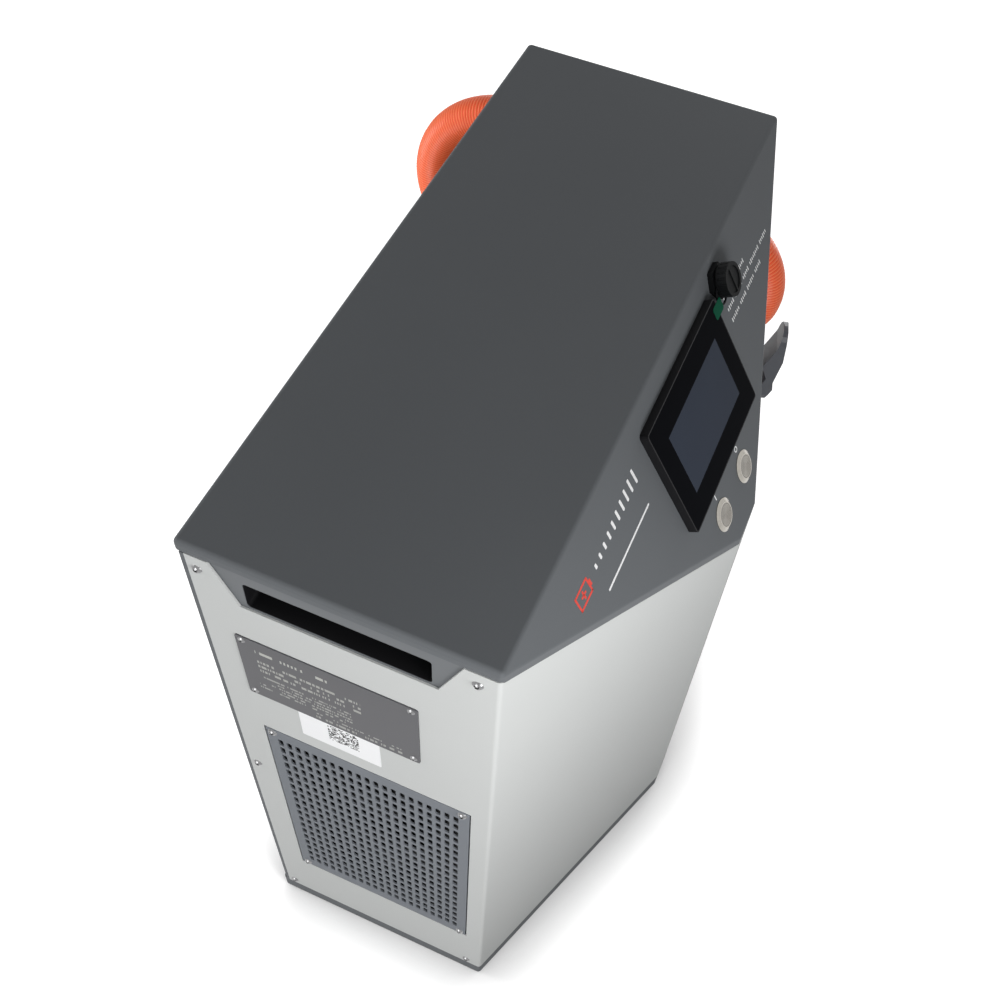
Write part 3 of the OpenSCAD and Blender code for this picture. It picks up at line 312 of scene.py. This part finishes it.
orange, shader, place = new_finish("orange_conduit", Roughness=0.42)
# Painted shade and highlight: by crest height, the grooves are coloured darker orange and the crests
# lighter.
crest = place.node("Attribute", {"attribute_name": "crest"}, {}, 2)
smudge = place.noise(28, 4, 0.6)
painted_rib_shading = crest.colours(linear(236, 78, 28), linear(255, 128, 78))
feed(
    shader,
    Base_Color=(smudge * 0.15).colours(painted_rib_shading, linear(252, 104, 56)),
    Roughness=0.36 + smudge * 0.16,
)
conduit.data.materials.append(orange)
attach(conduit, "cabinet")
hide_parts("conduit_lead", "conduit_hank", "conduit_tail")
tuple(route[0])


# Dark cabinet sheet: folded steel with a fine-textured charcoal powder coat.
# It covers the base tray, the chassis, the rail behind the joint, the top cover and the hanger.
def powder_coat(name, colour, shade, grain, edge_colour=None, edge_from=0.0):
    coat, shader, place = new_finish(name)
    shader.inputs["Specular IOR Level"].default_value = 0.07
    cloud = place.noise(7, 3, 0.55)
    speck = place.noise(grain, 2, 0.6)
    tone = (cloud * 0.6 + speck * 0.4).colours(colour, shade)
    if edge_colour:
        at_back = place.axes()[1] > edge_from
        tone = at_back.colours(tone, edge_colour)
    feed(
        shader,
        Base_Color=tone,
        Roughness=0.46 + cloud * 0.08 + speck * 0.08,
        Normal=speck.node("Bump", {}, {"Strength": 0.25, "Distance": 0.0002, "Height": speck}),
    )
    return coat


charcoal_tones = linear(96, 99, 102), linear(104, 107, 110)
fine_grain = 1100
charcoal = powder_coat("charcoal_powder_coat", *charcoal_tones, fine_grain)
dress(charcoal, "base_tray", "chassis_shell", "front_rail", "top_cover", "cable_hanger")


# Hand pockets: dark grey mouldings whose front plates show in the wrap's notches.
# The skin matches the sheet in front and is painted black with depth, where the hand goes: painted shade in
# the recess.
pocket_skin, shader, place = new_finish("pocket_moulding", Roughness=0.5)
shader.inputs["Specular IOR Level"].default_value = 0.22
plate_inside = 0.2881
fade = 2000
depth = (plate_inside - (place.axes()[0] - mid_x).size()) * fade
# Painted shade: the moulding turns black within half a millimetre behind its front plate.
recess_painted_shade = depth.node("Clamp", {}, {"Value": depth})
plain = place.noise(7, 3, 0.55).colours(*charcoal_tones)
feed(shader, Base_Color=recess_painted_shade.colours(plain, linear(16, 16, 18)))
dress(pocket_skin, "hand_pocket_left", "hand_pocket_right")


# Light wrap: the two end faces and the prow, folded from one sheet.
# Its pale grey powder coat has the same fine texture as the dark one, which edges it at the back.
pale = powder_coat(
    "pale_powder_coat", linear(198, 200, 199), linear(205, 207, 206), fine_grain,
    edge_colour=linear(100, 103, 106), edge_from=0.1551,
)
dress(pale, "front_wrap")


# Grilles: perforated steel plates in mid grey, screwed to the chassis inside the wrap's openings.
# They are a shade lighter than the dark sheet, and what lies behind them is dark.
slate = powder_coat("grille_powder_coat", linear(114, 118, 124), linear(124, 128, 134), 1400)
dress(slate, "intake_grille", "exhaust_grille")


# Fasteners: pan-head screws and rivets in bright zinc-plated steel.
# Turning marks and light tarnish break up the shine.
bright, shader, place = new_finish("bright_zinc", Metallic=1.0)
tarnish = place.noise(260, 3, 0.6)
feed(
    shader,
    Base_Color=tarnish.colours(linear(112, 112, 114), linear(146, 146, 146)),
    Roughness=0.2 + tarnish * 0.2,
)
dress(bright, "wrap_screws", "grille_screws", "hanger_screws", "nameplate_rivets")


# Black mouldings: socket, glands, contactor cases, fans and feet.
# Fine spark-eroded texture on a matt black plastic.
black, shader, place = new_finish("black_moulding")
shader.inputs["Specular IOR Level"].default_value = 0.05
grain = place.noise(900, 2, 0.6)
wipe = place.noise(30, 3, 0.5)
feed(
    shader,
    Base_Color=wipe.colours(linear(12, 13, 14), linear(19, 20, 21)),
    Roughness=0.42 + grain * 0.2,
    Normal=grain.node("Bump", {}, {"Strength": 0.2, "Distance": 0.0002, "Height": grain}),
)
dress(
    black, "socket_body", "socket_nut", "socket_cap", "cap_tether",
    "conduit_elbow", "mains_gland", "plug_collar", "upper_fan_frame", "upper_fan_rotor", "lower_fan_frame",
    "lower_fan_rotor", "fan_plate", "mains_contactor", "output_contactor", "terminal_block", "foot_pads",
)


# Nameplate and label: a printed grey plate on rivets, and a white paper label half under it.
# Both carry plain rows and blocks, printed flat, so the print is in the finish only.
def within(value, low, high):
    return (value > low) * (value < high)


def rows_of_print(along, down, pitch, letter, fill, across, height):
    row = down / pitch
    step = along / letter
    cell = row.node("CombineXYZ", {}, {0: row.math("FLOOR", row), 1: row.math("FLOOR", step)})
    word = cell.node("CombineXYZ", {}, {0: row.math("FLOOR", row), 1: row.math("FLOOR", step / 7)})
    inked = row.node("TexWhiteNoise", {"noise_dimensions": "2D"}, {"Vector": cell}) < fill
    written = row.node("TexWhiteNoise", {"noise_dimensions": "2D"}, {"Vector": word}) > 0.2
    tall = (row.math("FRACT", row) - 0.5).size() < 0.26
    return inked * written * tall * within(along, *across) * within(down, *height)


plate_low, plate_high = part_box("nameplate")
plate, shader, place = new_finish("nameplate_print")
shader.inputs["Specular IOR Level"].default_value = 0.2
y, z = place.axes()[1:]
fleck = place.noise(500, 2, 0.6)
along = (plate_high.y - y) / (plate_high.y - plate_low.y)
down = (plate_high.z - z) / (plate_high.z - plate_low.z)
heading = rows_of_print(along, down, 0.11, 0.0105, 0.62, (0.10, 0.56), (0.15, 0.24))
lines = rows_of_print(along, down, 0.075, 0.0070, 0.55, (0.10, 0.68), (0.30, 0.525))
notes = rows_of_print(along, down, 0.052, 0.0055, 0.60, (0.08, 0.62), (0.57, 0.83))
foot = rows_of_print(along, down, 0.075, 0.0070, 0.60, (0.40, 0.90), (0.86, 0.97))
feed(
    shader,
    Base_Color=(heading * 0.8 + lines * 0.6 + notes * 0.5 + foot * 0.5).colours(
        fleck.colours(linear(78, 78, 81), linear(85, 85, 88)), linear(196, 196, 190)
    ),
    Roughness=0.44 + fleck * 0.1,
)
dress(plate, "nameplate")

label_low, label_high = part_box("paper_label")
paper, shader, place = new_finish("label_paper")
block = 0.0011
blocks = 23
y, z = place.axes()[1:]
fibre = place.noise(700, 3, 0.6)
column = (label_high.y - 0.024 - y) / block
row = (z - label_low.z - 0.012) / block
cell = column.node("CombineXYZ", {}, {0: column.math("FLOOR", column), 1: column.math("FLOOR", row)})
inked = column.node("TexWhiteNoise", {"noise_dimensions": "2D"}, {"Vector": cell}) < 0.5
inked = inked * within(column, 0, blocks) * within(row, 0, blocks)
white = fibre.colours(linear(243, 244, 246), linear(249, 249, 250))
feed(
    shader,
    Base_Color=inked.colours(white, linear(28, 28, 30)),
    Roughness=0.5 + fibre * 0.2,
)
dress(paper, "paper_label")


# Touch screen: black glass in a slim black housing, with the display switched off behind it.
# A green pull tab of the protective film shows at the upper corner.
housing, shader, place = new_finish("screen_housing_black", Roughness=0.5)
shader.inputs["Specular IOR Level"].default_value = 0.1
feed(shader, Base_Color=place.noise(60, 3).colours(linear(26, 26, 28), linear(33, 33, 35)))
dress(housing, "screen_housing")
glass, shader, place = new_finish("screen_black", Roughness=0.18)
shader.inputs["Specular IOR Level"].default_value = 0.003
feed(shader, Base_Color=place.noise(60, 3).colours(linear(10, 11, 14), linear(13, 14, 18)))
dress(glass, "screen_glass")
unlit, shader, place = new_finish("display_unlit", Roughness=0.2)
shader.inputs["Specular IOR Level"].default_value = 0.02
feed(shader, Base_Color=place.noise(14, 2).colours(linear(46, 52, 65), linear(52, 59, 72)))
dress(unlit, "display_panel")
film, shader, place = new_finish("film_green", Roughness=0.3)
shader.inputs["Specular IOR Level"].default_value = 0.01
feed(shader, Base_Color=place.noise(90, 2).colours(linear(0, 72, 50), linear(0, 88, 62)))
dress(film, "film_tab")


# Push buttons: turned stainless steel bezels and caps, each clamped by a nut behind the panel.
# The lathe leaves fine rings round each button's axis, which pull its shine into a line.
panel_fall, panel_run = 0.162, 0.097
panel_edge = -0.0655
cabinet_height = 0.673
button_across, button_down = 0.026, 0.153
slope = math.atan2(panel_fall, panel_run)


def on_panel(across, down, lift=0.0):
    return Vector((
        across + mid_x,
        panel_edge - down * math.cos(slope) - lift * math.sin(slope),
        cabinet_height - down * math.sin(slope) + lift * math.cos(slope),
    ))


def turned_steel(name, side, dark, pale, shine, depth):
    steel, shader, place = new_finish(name, Metallic=1.0)
    across, along = place.turned(on_panel(side * button_across, button_down), -slope).axes()[:2]
    radius = across.math("SQRT", across * across + along * along)
    groove = radius.math("SINE", radius * 26000)
    haze = place.noise(350, 3, 0.6)
    feed(
        shader,
        Base_Color=haze.colours(linear(*dark), linear(*pale)),
        Roughness=shine + haze * 0.12,
        Normal=groove.node("Bump", {}, {"Strength": depth, "Distance": 0.00006, "Height": groove}),
    )
    return steel


for side, name in ((-1, "start"), (1, "stop")):
    bezel = turned_steel(name + "_bezel_steel", side, (158, 154, 147), (186, 182, 174), 0.08, 0.1)
    dress(bezel, name + "_button_body")
    cap = turned_steel(name + "_cap_steel", side, (128, 124, 118), (150, 146, 139), 0.24, 0.4)
    dress(cap, name + "_button_cap")
dress(bright, "button_nuts")


# Panel print: white and red ink screened on the sloping panel.
# A battery, a row of rising bars and a rule mark its left half, and rows of fine strokes its right.
ink_gap = 0.00001
ink_thickness = 0.00006
mark_down = 0.1335


def screened(name, colour, shade):
    ink, shader, place = new_finish(name, Roughness=0.55)
    feed(shader, Base_Color=place.noise(900, 2).colours(linear(*colour), linear(*shade)))
    return ink


white_ink = screened("white_ink", (228, 229, 230), (246, 246, 246))
red_ink = screened("red_ink", (206, 58, 46), (222, 70, 56))


def printed(name, ink, bars):
    made = []
    for across, down, width, height in bars:
        bpy.ops.object.select_all(action="DESELECT")
        bpy.ops.mesh.primitive_plane_add(
            size=1, location=on_panel(across, down, ink_gap), rotation=(slope, 0, 0)
        )
        bar = bpy.context.object
        bar.scale = (width, height, 1)
        bpy.ops.object.transform_apply(location=False, rotation=False, scale=True)
        bpy.ops.object.mode_set(mode="EDIT")
        bpy.ops.mesh.select_all(action="SELECT")
        bpy.ops.mesh.bevel(offset=min(width, height) * 0.3, segments=2, affect="VERTICES")
        bpy.ops.mesh.select_all(action="SELECT")
        bpy.ops.mesh.extrude_region_move(
            TRANSFORM_OT_translate={"value": (0, 0, ink_thickness), "orient_type": "LOCAL"}
        )
        bpy.ops.object.mode_set(mode="OBJECT")
        made.append(bar)
    finish_print(name, ink, made)


def finish_print(name, ink, made):
    bpy.ops.object.select_all(action="DESELECT")
    for shape in made:
        shape.select_set(True)
    bpy.context.view_layer.objects.active = made[0]
    if len(made) > 1:
        bpy.ops.object.join()
    bpy.ops.object.transform_apply(location=True, rotation=True, scale=True)
    made[0].name = name
    made[0].data.materials.append(ink)
    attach(made[0], "cabinet")


def strokes(left, down, height, counts):
    at = left
    for count in counts:
        for k in range(count):
            yield at, down, height * 0.36, height * (0.7 if (k + count) % 3 else 1.0)
            at += height * 0.75
        at += height * 0.8


printed("legend_print", white_ink, [
    *strokes(0.098, 0.0402, 0.0040, (5, 5, 5)),
    *strokes(0.098, 0.0505, 0.0040, (5, 6, 5, 8, 6)),
    *strokes(0.098, 0.0610, 0.0040, (6, 5, 6, 5)),
])
bar_heights = [0.0040 + 0.00094 * k for k in range(10)]
printed("level_bars", white_ink, [
    (-0.1755 + 0.0086 * k, 0.0382 - height / 2, 0.0026, height) for k, height in enumerate(bar_heights)
])
printed("title_rule", white_ink, [(-0.1375, 0.0600, 0.0786, 0.0018)])
mark_x, mark_s = -0.1985, 0.0375
printed("battery_mark", red_ink, [
    (mark_x, mark_s - 0.0058, 0.0200, 0.0018), (mark_x, mark_s + 0.0058, 0.0200, 0.0018),
    (mark_x - 0.0091, mark_s, 0.0018, 0.0134), (mark_x + 0.0091, mark_s, 0.0018, 0.0134),
    (mark_x + 0.0110, mark_s, 0.0022, 0.0056),
    (mark_x, mark_s, 0.0072, 0.0019), (mark_x, mark_s, 0.0019, 0.0072),
])
printed("start_mark", white_ink, [(-button_across, mark_down, 0.0012, 0.0052)])

bpy.ops.object.select_all(action="DESELECT")
bpy.ops.mesh.primitive_circle_add(
    vertices=32, radius=0.0026, fill_type="NGON",
    location=on_panel(button_across, mark_down, ink_gap), rotation=(slope, 0, 0),
)
ring = bpy.context.object
bpy.ops.object.mode_set(mode="EDIT")
bpy.ops.mesh.select_all(action="SELECT")
bpy.ops.mesh.inset(thickness=0.0010)
bpy.ops.mesh.delete(type="FACE")
bpy.ops.mesh.select_all(action="SELECT")
bpy.ops.mesh.extrude_region_move(
    TRANSFORM_OT_translate={"value": (0, 0, ink_thickness), "orient_type": "LOCAL"}
)
bpy.ops.object.mode_set(mode="OBJECT")
finish_print("stop_mark", white_ink, [ring])


# Plug: a dark grey two-pole connector with a twisted tongue for a grip, and copper contacts.
# The shell is glass-filled nylon with a satin skin.
nylon, shader, place = new_finish("plug_nylon")
skin = place.noise(700, 2, 0.6)
feed(
    shader,
    Base_Color=place.noise(30, 3).colours(linear(62, 66, 73), linear(78, 82, 90)),
    Roughness=0.38 + skin * 0.14,
    Normal=skin.node("Bump", {}, {"Strength": 0.15, "Distance": 0.0002, "Height": skin}),
)
dress(nylon, "plug_shell")
copper, shader, place = new_finish("bare_copper", Metallic=1.0)
dull = place.noise(120, 3, 0.6)
feed(
    shader,
    Base_Color=dull.colours(linear(196, 122, 84), linear(222, 150, 110)),
    Roughness=0.25 + dull * 0.2,
)
dress(copper, "plug_contacts", "output_busbars")


# Inside: zinc-plated rack, power modules and plates, a ceramic fuse and a green control board.
# Nothing of it shows from outside but what the grilles let through.
zinc, shader, place = new_finish("plain_zinc", Metallic=1.0)
spangle = place.noise(45, 4, 0.65)
feed(
    shader,
    Base_Color=spangle.colours(linear(150, 152, 155), linear(186, 188, 190)),
    Roughness=0.34 + spangle * 0.18,
)
dress(
    zinc, "module_rack", "lower_power_module", "middle_power_module", "upper_power_module",
    "mounting_plate", "line_filter", "board_standoffs",
)
ceramic, shader, place = new_finish("fuse_ceramic", Roughness=0.3)
feed(shader, Base_Color=place.noise(80, 3).colours(linear(214, 208, 194), linear(226, 221, 208)))
dress(ceramic, "output_fuse")
laminate, shader, place = new_finish("board_laminate", Roughness=0.4)
feed(shader, Base_Color=place.noise(400, 2).colours(linear(14, 84, 52), linear(24, 104, 66)))
dress(laminate, "control_board")
